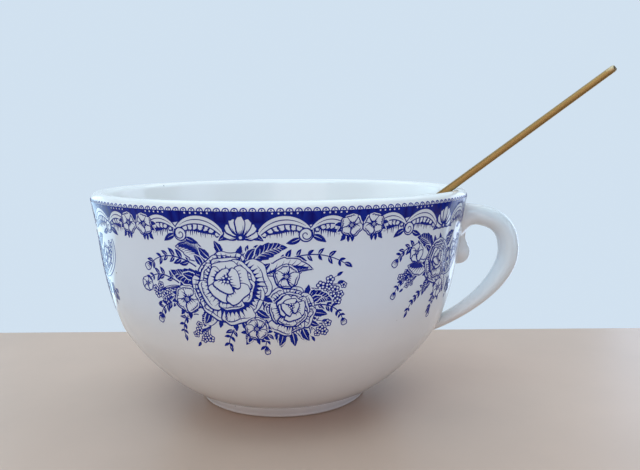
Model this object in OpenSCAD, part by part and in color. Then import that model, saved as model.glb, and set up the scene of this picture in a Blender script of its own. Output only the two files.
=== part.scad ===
// Breakfast cup with a stuck-on loop handle, a foot ring, a printed border with sprays,
// and a slim spoon that leans on the rim. Millimetres, +Z up, handle along +X,
// origin on the table under the middle of the cup.

/* [Bowl] */
// Outer diameter over the rim
rim_d = 130; // [120:1:142]
// Height from the table to the top of the lip
cup_h = 74; // [68:0.5:82]
// Thickness of the rounded lip
lip_t = 4.9; // [3.6:0.1:5.6]
// Thickness of the wall at the belly
wall_t = 4.2; // [3:0.1:5]
// Thickness of the floor at its middle
floor_t = 4.2; // [3:0.1:6]
// Outer diameter at the belly, where the wall turns up
belly_d = 114; // [106:1:118]
// Height of the belly above the table
belly_z = 30; // [26:0.5:34]
// Slope of the wall at the belly, from level
belly_slope = 70; // [66:1:74]
// Slope of the wall under the lip, from level
rim_slope = 78; // [74:1:84]

/* [Foot] */
// Outer diameter of the foot ring on the table
foot_d = 59.6; // [52:0.2:64]
// Height of the foot ring
foot_h = 3.8; // [3:0.1:5]
// Width of the foot ring on the table
foot_w = 4.6; // [3:0.1:6]
// Outward lean of the foot ring over its height
foot_lean = 1.4; // [0.6:0.1:2]
// Radius of the foot ring's lower edges
foot_edge = 0.9; // [0.4:0.1:1.2]
// Slope of the bowl where it leaves the foot ring, from level
foot_slope = 18; // [14:1:26]
// Depth of the dish under the floor, inside the foot ring
dish_depth = 0.6; // [0.2:0.1:1]

/* [Handle] */
// Drop from the top of the lip to the top of the handle
handle_drop = 5.4; // [4:0.1:9]
// Clear gap between the wall and the handle
finger_gap = 14; // [12:0.1:20]
// Radius of the handle's upper bend, on its middle line
handle_round_r = 13.1; // [9:0.1:14]
// Thickness of the handle at the top and side
handle_t = 7.1; // [5:0.1:9]
// Thickness of the handle near its lower end
handle_low_t = 4.1; // [3.5:0.1:7]
// Width of the handle across its upper end
handle_w = 9.6; // [7:0.1:12]
// Width of the handle across its lower end
handle_low_w = 8.2; // [6:0.1:11]
// Height of the middle of the lower joint
handle_low_z = 25.5; // [20:0.5:30]
// Slope of the handle into the lower joint
handle_low_slope = 22; // [20:1:36]
// Extra depth of the handle under its upper end, at the wall
root_flare = 5; // [2:0.1:6]
// Radius of the spur's round lobe
spur_r = 4.5; // [3:0.1:5]
// Radius of the spur's neck
spur_neck_r = 2; // [1.2:0.1:3]
// Distance from the handle's top to the middle of the spur
spur_drop = 17; // [14:0.1:20]
// Thickness of the slip that sticks the handle on
slip_t = 0.5; // [0.3:0.1:0.8]

/* [Print] */
// Thickness of the printed layers
print_t = 0.2; // [0.1:0.05:0.4]
// Drop from the top of the lip to the top of the border
border_drop = 1.6; // [1.2:0.1:4]
// Height of the border
border_h = 9.2; // [4:0.1:12]
// Gap between the border and the sprays
spray_gap = 0.4; // [0.2:0.1:2]
// Drop of a tall spray below the border
spray_tall = 32; // [26:0.5:36]
// Drop of a short spray below the border
spray_short = 27; // [20:0.5:34]
// Half angle of a tall spray round the cup
spray_tall_half_angle = 29; // [22:0.5:32]
// Half angle of a short spray round the cup
spray_short_half_angle = 21; // [14:0.5:22]

/* [Spoon] */
// Length of the spoon
spoon_len = 173; // [150:1:190]
// Slope of the spoon's handle, from level
spoon_tilt = 37.4; // [34:0.2:42]
// Turn of the spoon round the cup from the handle
spoon_turn = -7; // [-20:1:20]
// Thickness of the spoon's handle at its end
spoon_t = 2.2; // [1.6:0.1:3]
// Thickness of the spoon's handle at its neck
spoon_neck_t = 2.8; // [2:0.1:3.4]
// Width of the spoon's handle at its end
spoon_w = 6.4; // [5:0.1:9]
// Width of the spoon's handle at its neck
spoon_neck_w = 4; // [3:0.1:5]
// Length of the spoon's bowl
spoon_bowl_len = 44; // [38:1:50]
// Width of the spoon's bowl
spoon_bowl_w = 28; // [24:1:32]
// Depth of the spoon's bowl
spoon_bowl_depth = 7; // [5:0.1:9]
// Thickness of the spoon's bowl
spoon_bowl_t = 1.2; // [0.8:0.1:1.6]
// Angle between the spoon's handle and its bowl
spoon_bend = 9; // [4:1:14]
// Gap between the spoon and the cup
spoon_gap = 0.3; // [0.3:0.05:0.8]

/* [Hidden] */
$fn = 128;

curve_steps = 16;
lip_steps = 12;
rim_r = rim_d / 2;
lip_r = lip_t / 2;
lip_z = cup_h - lip_r;
lip_mid = rim_r - lip_r;
foot_r = foot_d / 2;
foot_top_r = foot_r + foot_lean;
dish_r = foot_r - foot_w;

// Cubic curve through a start and an end, drawn by two pulls
function blend(p, t) = pow(1 - t, 3) * p[0] + 3 * t * pow(1 - t, 2) * p[1]
  + 3 * t * t * (1 - t) * p[2] + pow(t, 3) * p[3];
function blend_dir(p, t) = let (d = pow(1 - t, 2) * (p[1] - p[0])
  + 2 * t * (1 - t) * (p[2] - p[1]) + t * t * (p[3] - p[2])) d / norm(d);
function aim(angle) = [cos(angle), sin(angle)];
function ease(x) = let (c = min(1, max(0, x))) c * c * (3 - 2 * c);

// Outer side of the bowl: from the foot to the belly, and from the belly to the lip
foot_pt = [foot_top_r, foot_h];
belly_pt = [belly_d / 2, belly_z];
rim_pt = [rim_r, lip_z];
low_share = 0.29;
belly_low_share = 0.2;
belly_up_share = 0.45;
rim_share = 0.34;
low_pull = norm(belly_pt - foot_pt) * low_share;
belly_low_pull = norm(belly_pt - foot_pt) * belly_low_share;
belly_up_pull = (lip_z - belly_z) * belly_up_share;
rim_pull = (lip_z - belly_z) * rim_share;
low_curve = [
  foot_pt, foot_pt + low_pull * aim(foot_slope),
  belly_pt - belly_low_pull * aim(belly_slope), belly_pt
];
high_curve = [
  belly_pt, belly_pt + belly_up_pull * aim(belly_slope),
  rim_pt - rim_pull * aim(rim_slope), rim_pt
];
// The outer side moved out by a distance
function side_point(curve, t, out) = let (d = blend_dir(curve, t)) blend(curve, t) + out * [d[1], -d[0]];
function outer_side(out) = [
  for (i = [0:curve_steps]) side_point(low_curve, i / curve_steps, out),
  for (i = [1:curve_steps]) side_point(high_curve, i / curve_steps, out)
];
function flip(list) = [for (i = [len(list) - 1:-1:0]) list[i]];
function by_height(list) = [for (p = list) [p[1], p[0]]];
outer_table = by_height(outer_side(0));
function outer_r(z) = lookup(z, outer_table);

// Inner side of the bowl: a dished floor that runs up into the wall
floor_z = foot_h + dish_depth + floor_t;
inner_belly = belly_pt - wall_t * [sin(belly_slope), -cos(belly_slope)];
inner_rim = [rim_r - lip_t, lip_z];
floor_share = 0.64;
inner_low_share = 0.7;
inner_extra_slope = 4;
inner_rim_slope = rim_slope + inner_extra_slope;
floor_pull = inner_belly[0] * floor_share;
inner_low_pull = (inner_belly[1] - floor_z) * inner_low_share;
inner_low_curve = [
  [0, floor_z], [floor_pull, floor_z],
  inner_belly - inner_low_pull * aim(belly_slope), inner_belly
];
inner_high_curve = [
  inner_belly, inner_belly + belly_up_pull * aim(belly_slope),
  inner_rim - rim_pull * aim(inner_rim_slope), inner_rim
];
inner_side = [
  for (i = [0:curve_steps]) blend(inner_low_curve, i / curve_steps),
  for (i = [1:curve_steps]) blend(inner_high_curve, i / curve_steps)
];
function inner_r(z) = lookup(z, by_height(inner_side));

// Handle's middle line: out from inside the wall, round the upper bend and down to the lower joint
top_z = cup_h - handle_drop - handle_t / 2;
side_z = top_z - handle_round_r;
side_x = outer_r(side_z) + finger_gap + handle_t / 2;
sink = 3;
start_share = 0.64;
round_share = 0.85;
side_down_share = 0.34;
end_share = 0.58;
handle_start = [outer_r(top_z) - sink, top_z];
handle_side = [side_x, side_z];
handle_end = [outer_r(handle_low_z) - sink / 2, handle_low_z - sink / 4];
start_pull = (side_x - handle_start[0]) * start_share;
side_up_pull = handle_round_r * round_share;
side_down_pull = (side_z - handle_low_z) * side_down_share;
end_pull = (side_z - handle_low_z) * end_share;
upper_curve = [
  handle_start, handle_start + [start_pull, 0],
  handle_side + [0, side_up_pull], handle_side
];
lower_curve = [
  handle_side, handle_side - [0, side_down_pull],
  handle_end + end_pull * aim(handle_low_slope), handle_end
];
handle_rings = 20;
handle_sides = 24;
flare_reach = 5.5;
// How far a ring is along the handle: 0 at the upper joint, 1 at the side, 2 at the lower joint
function handle_mid(u) = u < 1 ? blend(upper_curve, u) : blend(lower_curve, u - 1);
function handle_dir(u) = u < 1 ? blend_dir(upper_curve, u) : blend_dir(lower_curve, u - 1);
function handle_depth(u) = handle_t + (handle_low_t - handle_t) * ease((u - 1.05) / 0.87);
function handle_width(u) = handle_w + (handle_low_w - handle_w) * ease((u - 0.3) / 1.5);
function flare_at(u) = u >= 1 ? 0
  : root_flare * pow(max(0, 1 - (handle_mid(u)[0] - handle_start[0] - sink) / flare_reach), 2);
function handle_ring(u) = let (
    mid = handle_mid(u), dir = handle_dir(u), out = [-dir[1], dir[0]],
    flare = flare_at(u), half = (handle_depth(u) + flare) / 2, wide = handle_width(u) / 2 + flare / 6,
    c = mid - out * flare / 2
  ) [
    for (k = [0:handle_sides - 1]) let (
        a = 360 * k / handle_sides, p = c + out * half * cos(a)
      ) [p[0], wide * sin(a), p[1]]
  ];

// Spur: a round lobe on a short neck that hangs from the upper joint along the wall
spur_top = top_z;
spur_z = cup_h - handle_drop - spur_drop;
spur_x = outer_r(spur_z) + slip_t / 2;
spur_lean = atan2(outer_r(spur_top) - outer_r(spur_z), spur_top - spur_z);
spur_len = spur_top - spur_z;
spur_steps = 12;
spur_arc_angle = 150;
neck_rise = 1.2;
neck_spread = 1;

// Border and sprays
border_top = cup_h - border_drop;
border_low = border_top - border_h;
spray_top = border_low - spray_gap;
// Sprays go round from beside the handle: short, tall, short, and the same again
spray_count = 6;
spray_step = 360 / spray_count;
function spray_place(number) = spray_step * (0.5 - number);
function spray_is_tall(number) = number % 3 == 2;
spray_steps = 36;
scallop_count = 8;
scallop_depth = 0.07;
// Room that the border leaves beside and above the handle's upper joint
root_room = 2.5;
root_top_room = 1;
root_half = handle_w / 2 + root_room;

// Spoon: its handle's underside lies on the lip, and its bowl goes down to the inner wall
spoon_handle_len = spoon_len - spoon_bowl_len;
bowl_half = spoon_bowl_len / 2;
bowl_rings = 6;
bowl_sides = 28;
bowl_slope = spoon_tilt - spoon_bend;
// Lap of the handle over the bowl's heel, and the cut corners at the handle's end
spoon_lap = 2;
spoon_corner = 1;
// How much the bowl narrows towards its tip, and how flat its floor is
bowl_taper = 0.1;
bowl_flatness = 2.4;
// A point of the spoon's bowl: share of the way to its rim, angle round it, wall taken off
function bowl_point(share, angle, off) = [
  -bowl_half + share * (bowl_half - off) * cos(angle),
  share * (spoon_bowl_w / 2 - off) * sin(angle) * (1 - bowl_taper * cos(angle)),
  -(spoon_bowl_depth - off) * (1 - pow(share, bowl_flatness))
];
function bowl_ring(share, off) = [
  for (k = [0:bowl_sides - 1]) bowl_point(share, -360 * k / bowl_sides, off)
];
// A bowl point in the upright plane of the spoon, with the heel at a distance down the handle
lip_lift = lip_r + spoon_gap;
function on_handle(along, up) = [lip_mid, lip_z] + lip_lift * [-sin(spoon_tilt), cos(spoon_tilt)]
  + along * aim(spoon_tilt) + up * [-sin(spoon_tilt), cos(spoon_tilt)];
function bowl_in_cup(p, down) = let (
    heel = on_handle(-down, spoon_neck_t / 2),
    q = heel + p[0] * aim(bowl_slope) + p[2] * [-sin(bowl_slope), cos(bowl_slope)]
  ) [norm([q[0], p[1]]), q[1]];
function room(down) = min([
  for (share = [0.4:0.2:1]) for (a = [90:15:270])
    let (q = bowl_in_cup(bowl_point(share, a, 0), down)) inner_r(q[1] - spoon_gap) - q[0]
]);
deepest = max([for (down = [40:0.25:110]) if (room(down) > spoon_gap) down]);

// Closed skin over a row of rings with equal counts
module skin(rings) {
  n = len(rings[0]);
  last = len(rings) - 1;
  points = [for (ring = rings) each ring];
  sides = [
    for (i = [0:last - 1]) for (k = [0:n - 1]) let (a = i * n + k, b = i * n + (k + 1) % n)
      each [[a, b, b + n], [a, b + n, a + n]]
  ];
  first_cap = [for (k = [n - 1:-1:0]) k];
  last_cap = [for (k = [0:n - 1]) last * n + k];
  polyhedron(points, concat(sides, [first_cap, last_cap]), convexity = 8);
}

// Solid under the outer side and the lip, moved out by a distance
module outer_solid(out) {
  side = outer_side(out);
  lip = [
    for (i = [1:lip_steps / 2]) [lip_mid, lip_z] + (lip_r + out) * aim(180 * i / lip_steps)
  ];
  rotate_extrude() polygon(concat([[0, side[0][1]]], side, lip, [[0, lip_z + lip_r + out]]));
}

module bowl() {
  lip = [
    for (i = [1:lip_steps]) [lip_mid, lip_z] + lip_r * aim(180 * i / lip_steps)
  ];
  dish = [[0, foot_h + dish_depth], [dish_r, foot_h]];
  inner = flip([for (i = [0:len(inner_side) - 2]) inner_side[i]]);
  color("whitesmoke") rotate_extrude() polygon(concat(dish, outer_side(0), lip, inner));
}

module foot_ring() {
  color("gainsboro") rotate_extrude() polygon(concat(
    [[dish_r, foot_h], [foot_top_r, foot_h]],
    [for (a = [0:-15:-90]) [foot_r - foot_edge, foot_edge] + foot_edge * aim(a)],
    [for (a = [-90:-15:-180]) [dish_r + foot_edge, foot_edge] + foot_edge * aim(a)]
  ));
}

module spur() {
  lobe = [for (i = [1:spur_steps - 2]) spur_r * aim(-90 + spur_arc_angle * i / (spur_steps - 1))];
  neck = [[spur_neck_r, spur_r + neck_rise], [spur_neck_r + neck_spread, spur_len], [0, spur_len]];
  translate([spur_x, 0, spur_z]) rotate([0, spur_lean, 0])
    rotate_extrude() polygon(concat([[0, -spur_r]], lobe, neck));
}

module handle_blank() {
  skin([for (i = [0:2 * handle_rings]) handle_ring(i / handle_rings)]);
  spur();
}

module handle() {
  color("whitesmoke") difference() {
    handle_blank();
    outer_solid(slip_t);
  }
}

// Slip between the handle and the wall, over a range of heights
module slip(low, high) {
  color("linen") intersection() {
    handle_blank();
    difference() {
      outer_solid(slip_t);
      outer_solid(0);
    }
    translate([0, -handle_w, low]) cube([rim_d, 2 * handle_w, high - low]);
  }
}

module upper_slip() {
  slip((side_z + handle_low_z) / 2, cup_h);
}

module lower_slip() {
  slip(0, (side_z + handle_low_z) / 2);
}

// Printed layer on the wall between two heights
module print_layer(low, high) {
  intersection() {
    difference() {
      outer_solid(print_t);
      outer_solid(0);
    }
    translate([0, 0, low]) cylinder(r = rim_d, h = high - low);
  }
}

module border_transfer() {
  color("midnightblue") difference() {
    print_layer(border_low, border_top);
    translate([0, -root_half, 0]) cube([rim_d, 2 * root_half, cup_h - handle_drop + root_top_room]);
  }
}

// Outline of a spray: wide under the border, scalloped, narrowing to a point
module spray_outline(drop, half) {
  wide = rim_r * sin(half);
  polygon([
    for (i = [0:spray_steps]) let (
        a = 180 * i / spray_steps, scallop = 1 + scallop_depth * cos(scallop_count * a)
      ) [wide * cos(a) * scallop, -drop * pow(sin(a), 1.3) * scallop]
  ]);
}

module spray_transfer(number) {
  tall = spray_is_tall(number);
  drop = tall ? spray_tall : spray_short;
  half = tall ? spray_tall_half_angle : spray_short_half_angle;
  color("navy") intersection() {
    print_layer(spray_top - drop * (1 + scallop_depth), spray_top);
    rotate([0, 0, spray_place(number)]) translate([0, 0, spray_top]) rotate([90, 0, 90])
      linear_extrude(rim_d) spray_outline(drop, half);
  }
}

module spoon_handle() {
  start = -spoon_lap;
  end = spoon_handle_len;
  corner = end - spoon_corner;
  plan = [
    [start, spoon_neck_w / 2], [corner, spoon_w / 2], [end, spoon_w / 2 - spoon_corner],
    [end, -spoon_w / 2 + spoon_corner], [corner, -spoon_w / 2], [start, -spoon_neck_w / 2]
  ];
  side = [
    [start, 0], [end, 0], [end, spoon_t], [start, spoon_neck_t]
  ];
  intersection() {
    linear_extrude(spoon_neck_t) polygon(plan);
    translate([0, spoon_w, 0]) rotate([90, 0, 0]) linear_extrude(2 * spoon_w) polygon(side);
  }
}

module spoon_bowl() {
  skin(concat(
    [for (i = [1:bowl_rings]) bowl_ring(i / bowl_rings, 0)],
    [for (i = [bowl_rings:-1:1]) bowl_ring(i / bowl_rings, spoon_bowl_t)]
  ));
}

module spoon() {
  heel = on_handle(-deepest, 0);
  color("darkgoldenrod") rotate([0, 0, spoon_turn]) translate([heel[0], 0, heel[1]])
    rotate([0, -spoon_tilt, 0]) union() {
      spoon_handle();
      translate([0, 0, spoon_neck_t / 2]) rotate([0, spoon_bend, 0]) spoon_bowl();
    }
}

bowl();
foot_ring();
handle();
upper_slip();
lower_slip();
border_transfer();
spray_transfer(1);  // spray_transfer_1
spray_transfer(2);  // spray_transfer_2
spray_transfer(3);  // spray_transfer_3
spray_transfer(4);  // spray_transfer_4
spray_transfer(5);  // spray_transfer_5
spray_transfer(6);  // spray_transfer_6
spoon();
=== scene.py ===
import cmath
import math
import random

import bpy
import numpy as np
from mathutils import Matrix, Vector
from mathutils.geometry import delaunay_2d_cdt


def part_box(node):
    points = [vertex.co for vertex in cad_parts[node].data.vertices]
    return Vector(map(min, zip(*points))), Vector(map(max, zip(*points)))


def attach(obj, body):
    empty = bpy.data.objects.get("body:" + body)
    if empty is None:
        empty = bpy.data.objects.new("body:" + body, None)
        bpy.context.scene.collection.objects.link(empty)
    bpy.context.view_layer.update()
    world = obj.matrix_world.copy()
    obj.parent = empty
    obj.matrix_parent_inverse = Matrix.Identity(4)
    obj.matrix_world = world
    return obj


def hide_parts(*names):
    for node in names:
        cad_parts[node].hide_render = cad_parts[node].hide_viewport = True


bl_info = {
    "name": "Breakfast Cup",
    "version": (1, 0, 0),
    "blender": (4, 5, 0),
    "location": "View3D > Sidebar > Cup",
    "description": "Models a printed breakfast cup and its spoon around their solids",
    "category": "Add Mesh",
}

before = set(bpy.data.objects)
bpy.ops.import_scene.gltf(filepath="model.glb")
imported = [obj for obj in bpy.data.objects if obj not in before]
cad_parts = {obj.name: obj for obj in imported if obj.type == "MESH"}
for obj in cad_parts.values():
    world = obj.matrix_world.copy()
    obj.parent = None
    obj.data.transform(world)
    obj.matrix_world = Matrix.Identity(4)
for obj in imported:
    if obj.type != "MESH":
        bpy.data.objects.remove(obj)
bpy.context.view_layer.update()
MM = 0.001
RIGHT_ANGLE = math.pi / 2
SPIN_STEPS = 240


def width_of(node, axis):
    """Size of a solid along one axis, in metres"""
    low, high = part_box(node)
    return high[axis] - low[axis]


def length(name, millimetres):
    return bpy.props.FloatProperty(
        name=name, default=millimetres * MM, min=0.0, precision=5, unit="LENGTH"
    )


def angle(name, degrees):
    return bpy.props.FloatProperty(name=name, default=math.radians(degrees), subtype="ANGLE")


def colour(name, red, green, blue):
    return bpy.props.FloatVectorProperty(
        name=name, default=(red, green, blue), size=3, min=0.0, max=1.0, subtype="COLOR"
    )


class CupSizes(bpy.types.PropertyGroup):
    """Sizes of the cup's clay pieces"""

    rim_d: length("Outer diameter over the rim", width_of("bowl", 0) / MM)
    height: length("Height from the table to the top of the lip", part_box("bowl")[1][2] / MM)
    lip_t: length("Thickness of the rounded lip", 4.9)
    wall_t: length("Thickness of the wall at the belly", 4.2)
    floor_t: length("Thickness of the floor at its middle", 4.2)
    belly_d: length("Outer diameter where the wall turns up", 114)
    belly_z: length("Height of the belly above the table", 30)
    belly_slope: angle("Slope of the wall at the belly, from level", 70)
    rim_slope: angle("Slope of the wall under the lip, from level", 78)
    inner_slope: angle("Slope of the inner wall under the lip, from level", 82)
    foot_slope: angle("Slope of the bowl where it leaves the foot ring, from level", 18)
    foot_d: length("Outer diameter of the foot ring on the table", 59.6)
    foot_h: length("Height of the foot ring", width_of("foot_ring", 2) / MM)
    foot_w: length("Width of the foot ring on the table", 4.6)
    foot_lean: length("Outward lean of the foot ring over its height", 1.4)
    foot_edge: length("Radius of the foot ring's lower edges", 0.9)
    dish_depth: length("Depth of the dish under the floor", 0.6)
    ink_t: length("Height of the printed ink over the glaze", 0.04)


class HandleSizes(bpy.types.PropertyGroup):
    """Sizes of the loop handle and its spur"""

    drop: length("Drop from the top of the lip to the top of the handle", 5.4)
    gap: length("Clear gap between the wall and the handle", 14)
    round_r: length("Radius of the upper bend on the middle line", 13.1)
    depth: length("Thickness at the top and side", 7.1)
    low_depth: length("Thickness near the lower joint", 4.1)
    wide: length("Width across the upper end", 9.6)
    low_wide: length("Width across the lower end", 8.2)
    low_z: length("Height of the middle of the lower joint", 25.5)
    low_slope: angle("Slope of the handle into the lower joint", 22)
    flare: length("Extra depth under the upper end, at the wall", 5)
    flare_reach: length("Distance from the wall over which the flare runs out", 5.5)
    spur_r: length("Radius of the spur's round lobe", 4.5)
    spur_neck: length("Radius of the spur's neck", 2)
    spur_drop: length("Distance from the handle's top to the middle of the spur", 17)
    grain: length("Size of the cells that blend the handle into the wall", 0.32)


class SpoonSizes(bpy.types.PropertyGroup):
    """Sizes and lean of the spoon"""

    total: length("Length of the spoon", 173)
    tilt: angle("Slope of the spoon's handle, from level", 37.4)
    turn: angle("Turn of the spoon round the cup from the handle", -7)
    sunk: length("Distance from the lip down to the heel of the spoon's bowl", 67.5)
    end_t: length("Thickness of the handle at its end", 2.2)
    neck_t: length("Thickness of the handle at its neck", 2.8)
    end_w: length("Width of the handle at its end", 6.4)
    neck_w: length("Width of the handle at its neck", 4)
    bowl_l: length("Length of the spoon's bowl", 44)
    bowl_w: length("Width of the spoon's bowl", 28)
    bowl_h: length("Depth of the spoon's bowl", 7)
    bowl_t: length("Thickness of the spoon's bowl", 1.2)
    bend: angle("Angle between the handle and the bowl", 9)
    clear: length("Gap between the spoon and the cup", 0.3)


class Finishes(bpy.types.PropertyGroup):
    """Colours of the surfaces"""

    glaze: colour("White clay under clear glaze", 0.84, 0.83, 0.82)
    glaze_shade: colour("Where the glaze pools", 0.79, 0.785, 0.785)
    speck: colour("Tiny specks in the glaze", 0.16, 0.15, 0.15)
    # Painted light: the inside of the bowl is painted lighter, standing in for the light that fills
    # it
    glaze_painted_inside_light: colour("Glaze inside the bowl, painted lighter as painted light", 0.90, 0.89, 0.885)
    # Painted light: a blue tint on the printed wall stands in for bluish light on its upper part
    glaze_painted_blue_light: colour("Glaze tinted with painted blue light", 0.78, 0.84, 0.925)
    # Painted light: a cooler tone round the handle's loop stands in for bluish light on it
    glaze_painted_cool_light: colour("Glaze round the loop of the handle, cooled as painted light", 0.79, 0.84, 0.865)
    biscuit: colour("Bare clay under the foot", 0.62, 0.55, 0.46)
    ink: colour("Printed blue where it is dense", 0.0, 0.001, 0.15)
    ink_thin: colour("Printed blue where it is thin", 0.002, 0.008, 0.22)
    ink_line: colour("Printed blue in lines and along edges", 0.004, 0.018, 0.27)
    gold: colour("Brushed gold-coloured metal", 0.32, 0.20, 0.072)
    gold_worn: colour("Metal where it is dulled", 0.26, 0.16, 0.056)
    # Painted highlight: a pale tone at the end of the spoon's handle
    gold_painted_highlight: colour("Painted highlight on the metal at the handle's end", 0.50, 0.41, 0.26)
    floor: colour("Plain pale table top", 0.56, 0.39, 0.30)
    backdrop: colour("Pale wall behind", 0.64, 0.755, 0.87)
    sky: colour("Soft light from behind and above", 0.80, 0.95, 1.0)


# Shapes of the clay pieces


def direction(slope):
    return Vector((math.cos(slope), math.sin(slope)))


def cubic(points, t):
    """Point at a share of the way along a cubic curve"""
    a, b, c, d = points
    return a * (1 - t) ** 3 + b * (3 * t * (1 - t) ** 2) + c * (3 * t * t * (1 - t)) + d * t**3


def cubic_way(points, t):
    """Direction of a cubic curve at a share of the way along it"""
    a, b, c, d = points
    way = (b - a) * (1 - t) ** 2 + (c - b) * (2 * t * (1 - t)) + (d - c) * (t * t)
    return way.normalized()


def curve(start, leave, arrive, end):
    """A cubic curve by its ends and by how it leaves the one and arrives at the other"""
    return start, start + leave, end - arrive, end


def eased(x):
    """Share between 0 and 1 that starts and ends slowly"""
    x = np.clip(x, 0.0, 1.0)
    return x * x * (3 - 2 * x)


class CupForm:
    """Outline of the cup in its upright half plane, as radius and height in metres"""

    STEPS = 200
    # How far the curves run on straight at their ends, as shares of what they span
    FOOT_PULL, UNDER_BELLY_PULL = 0.29, 0.2
    FLOOR_PULL, INNER_BELLY_PULL = 0.64, 0.7
    OVER_BELLY_PULL, RIM_PULL = 0.45, 0.34

    def __init__(self, cup):
        self.lip_r = cup.lip_t / 2
        self.lip_z = cup.height - self.lip_r
        self.lip_mid = Vector((cup.rim_d / 2 - self.lip_r, self.lip_z))
        self.lip_start = cup.rim_slope - RIGHT_ANGLE
        self.lip_end = cup.inner_slope + RIGHT_ANGLE
        self.dish_r = cup.foot_d / 2 - cup.foot_w
        steep = direction(cup.belly_slope)
        foot = Vector((cup.foot_d / 2 + cup.foot_lean, cup.foot_h))
        belly = Vector((cup.belly_d / 2, cup.belly_z))
        span = (belly - foot).length
        leave = direction(cup.foot_slope) * span * self.FOOT_PULL
        self.low = curve(foot, leave, steep * span * self.UNDER_BELLY_PULL, belly)
        floor = Vector((0, cup.foot_h + cup.dish_depth + cup.floor_t))
        inner_belly = belly - Vector((steep.y, -steep.x)) * cup.wall_t
        leave = Vector((inner_belly.x * self.FLOOR_PULL, 0))
        arrive = steep * (inner_belly.y - floor.y) * self.INNER_BELLY_PULL
        self.inner_low = curve(floor, leave, arrive, inner_belly)
        rise = self.lip_z - cup.belly_z
        leave = steep * rise * self.OVER_BELLY_PULL
        arrive = direction(cup.rim_slope) * rise * self.RIM_PULL
        self.high = curve(belly, leave, arrive, self.on_lip(self.lip_start))
        arrive = direction(cup.inner_slope) * rise * self.RIM_PULL
        self.inner_high = curve(inner_belly, leave, arrive, self.on_lip(self.lip_end))
        # Outer side as a table by height, for what sits on it
        steps = [i / self.STEPS for i in range(self.STEPS + 1)]
        side = [cubic(self.low, t) for t in steps] + [cubic(self.high, t) for t in steps[1:]]
        over = RIGHT_ANGLE - self.lip_start
        side += [self.on_lip(self.lip_start + over * t) for t in steps[1:-1]]
        self.side_r = np.array([p.x for p in side])
        self.side_z = np.array([p.y for p in side])
        run, climb = np.gradient(self.side_r), np.gradient(self.side_z)
        size = np.hypot(run, climb)
        self.side_out = climb / size
        self.side_up = -run / size

    def on_lip(self, turn):
        return self.lip_mid + direction(turn) * self.lip_r

    def outer_r(self, z):
        return np.interp(z, self.side_z, self.side_r)

    def outer_normal(self, z):
        """Outward and upward parts of the outer side's normal"""
        return np.interp(z, self.side_z, self.side_out), np.interp(z, self.side_z, self.side_up)

    def normals(self, points):
        """Normals of the outer side at points on or near it"""
        out, up = self.outer_normal(points[:, 2])
        radius = np.hypot(points[:, 0], points[:, 1])
        return np.column_stack((out * points[:, 0] / radius, out * points[:, 1] / radius, up))

    def outside(self, points):
        """Distance of points from the outer side, above zero outside it"""
        radius = np.hypot(points[:, 0], points[:, 1])
        out, _ = self.outer_normal(points[:, 2])
        return (radius - self.outer_r(points[:, 2])) * out


# Modelling helpers


def start_piece():
    """Leaves nothing selected, so that the next operators touch only the new piece"""
    if bpy.context.mode != "OBJECT":
        bpy.ops.object.mode_set(mode="OBJECT")
    bpy.ops.object.select_all(action="DESELECT")


def pick(piece):
    start_piece()
    piece.select_set(True)
    bpy.context.view_layer.objects.active = piece


def clean_mesh(piece, close=True, merge=1e-6):
    """Merges doubled points, closes holes and turns the faces outwards"""
    pick(piece)
    bpy.ops.object.mode_set(mode="EDIT")
    bpy.ops.mesh.select_all(action="SELECT")
    bpy.ops.mesh.remove_doubles(threshold=merge)
    if close:
        bpy.ops.mesh.fill_holes(sides=0)
        bpy.ops.mesh.select_all(action="SELECT")
        bpy.ops.mesh.normals_make_consistent(inside=False)
    bpy.ops.object.mode_set(mode="OBJECT")


def apply_modifier(piece, kind, **settings):
    pick(piece)
    modifier = piece.modifiers.new(kind.title(), kind)
    for key, value in settings.items():
        setattr(modifier, key, value)
    bpy.ops.object.modifier_apply(modifier=modifier.name)


def smooth(piece):
    pick(piece)
    bpy.ops.object.shade_smooth()


def join(first, *others):
    pick(first)
    for piece in others:
        piece.select_set(True)
    bpy.ops.object.join()
    return first


def places_of(mesh):
    """Places of a mesh's points, in rows of three"""
    places = np.empty(len(mesh.vertices) * 3)
    mesh.vertices.foreach_get("co", places)
    return places.reshape(-1, 3)


def knot(point, before=None, after=None):
    """A point of a drawn outline with the two handles of its curve"""
    return [Vector(spot) for spot in (point, before or point, after or point)]


def arc_pull(radius, sweep):
    return radius * 4 / 3 * math.tan(sweep / 4)


def spun_piece(name, knots, steps, detail):
    """Draws an outline as a curve of radius and height, and spins it round the upright axis"""
    start_piece()
    bpy.ops.curve.primitive_bezier_curve_add()
    drawn = bpy.context.object
    spline = drawn.data.splines[0]
    spline.bezier_points.add(len(knots) - len(spline.bezier_points))
    for target, (point, before, after) in zip(spline.bezier_points, knots):
        target.handle_left_type = target.handle_right_type = "FREE"
        target.co = (point.x, 0, point.y)
        target.handle_left = (before.x, 0, before.y)
        target.handle_right = (after.x, 0, after.y)
    drawn.data.resolution_u = detail
    bpy.ops.object.convert(target="MESH")
    piece = bpy.context.object
    piece.name = piece.data.name = name
    bpy.ops.object.mode_set(mode="EDIT")
    bpy.ops.mesh.select_all(action="SELECT")
    bpy.ops.mesh.spin(steps=steps, angle=math.tau, center=(0, 0, 0), axis=(0, 0, 1))
    bpy.ops.object.mode_set(mode="OBJECT")
    clean_mesh(piece)
    smooth(piece)
    return piece


def rolled_piece(name, rings, sides, place):
    """Bends a grid into a closed piece: place gives a point for a ring's and a side's share"""
    start_piece()
    bpy.ops.mesh.primitive_grid_add(x_subdivisions=rings, y_subdivisions=sides, size=1)
    piece = bpy.context.object
    piece.name = piece.data.name = name
    for vertex in piece.data.vertices:
        vertex.co = place(vertex.co.x + 0.5, vertex.co.y + 0.5)
    clean_mesh(piece)
    smooth(piece)
    return piece


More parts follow.
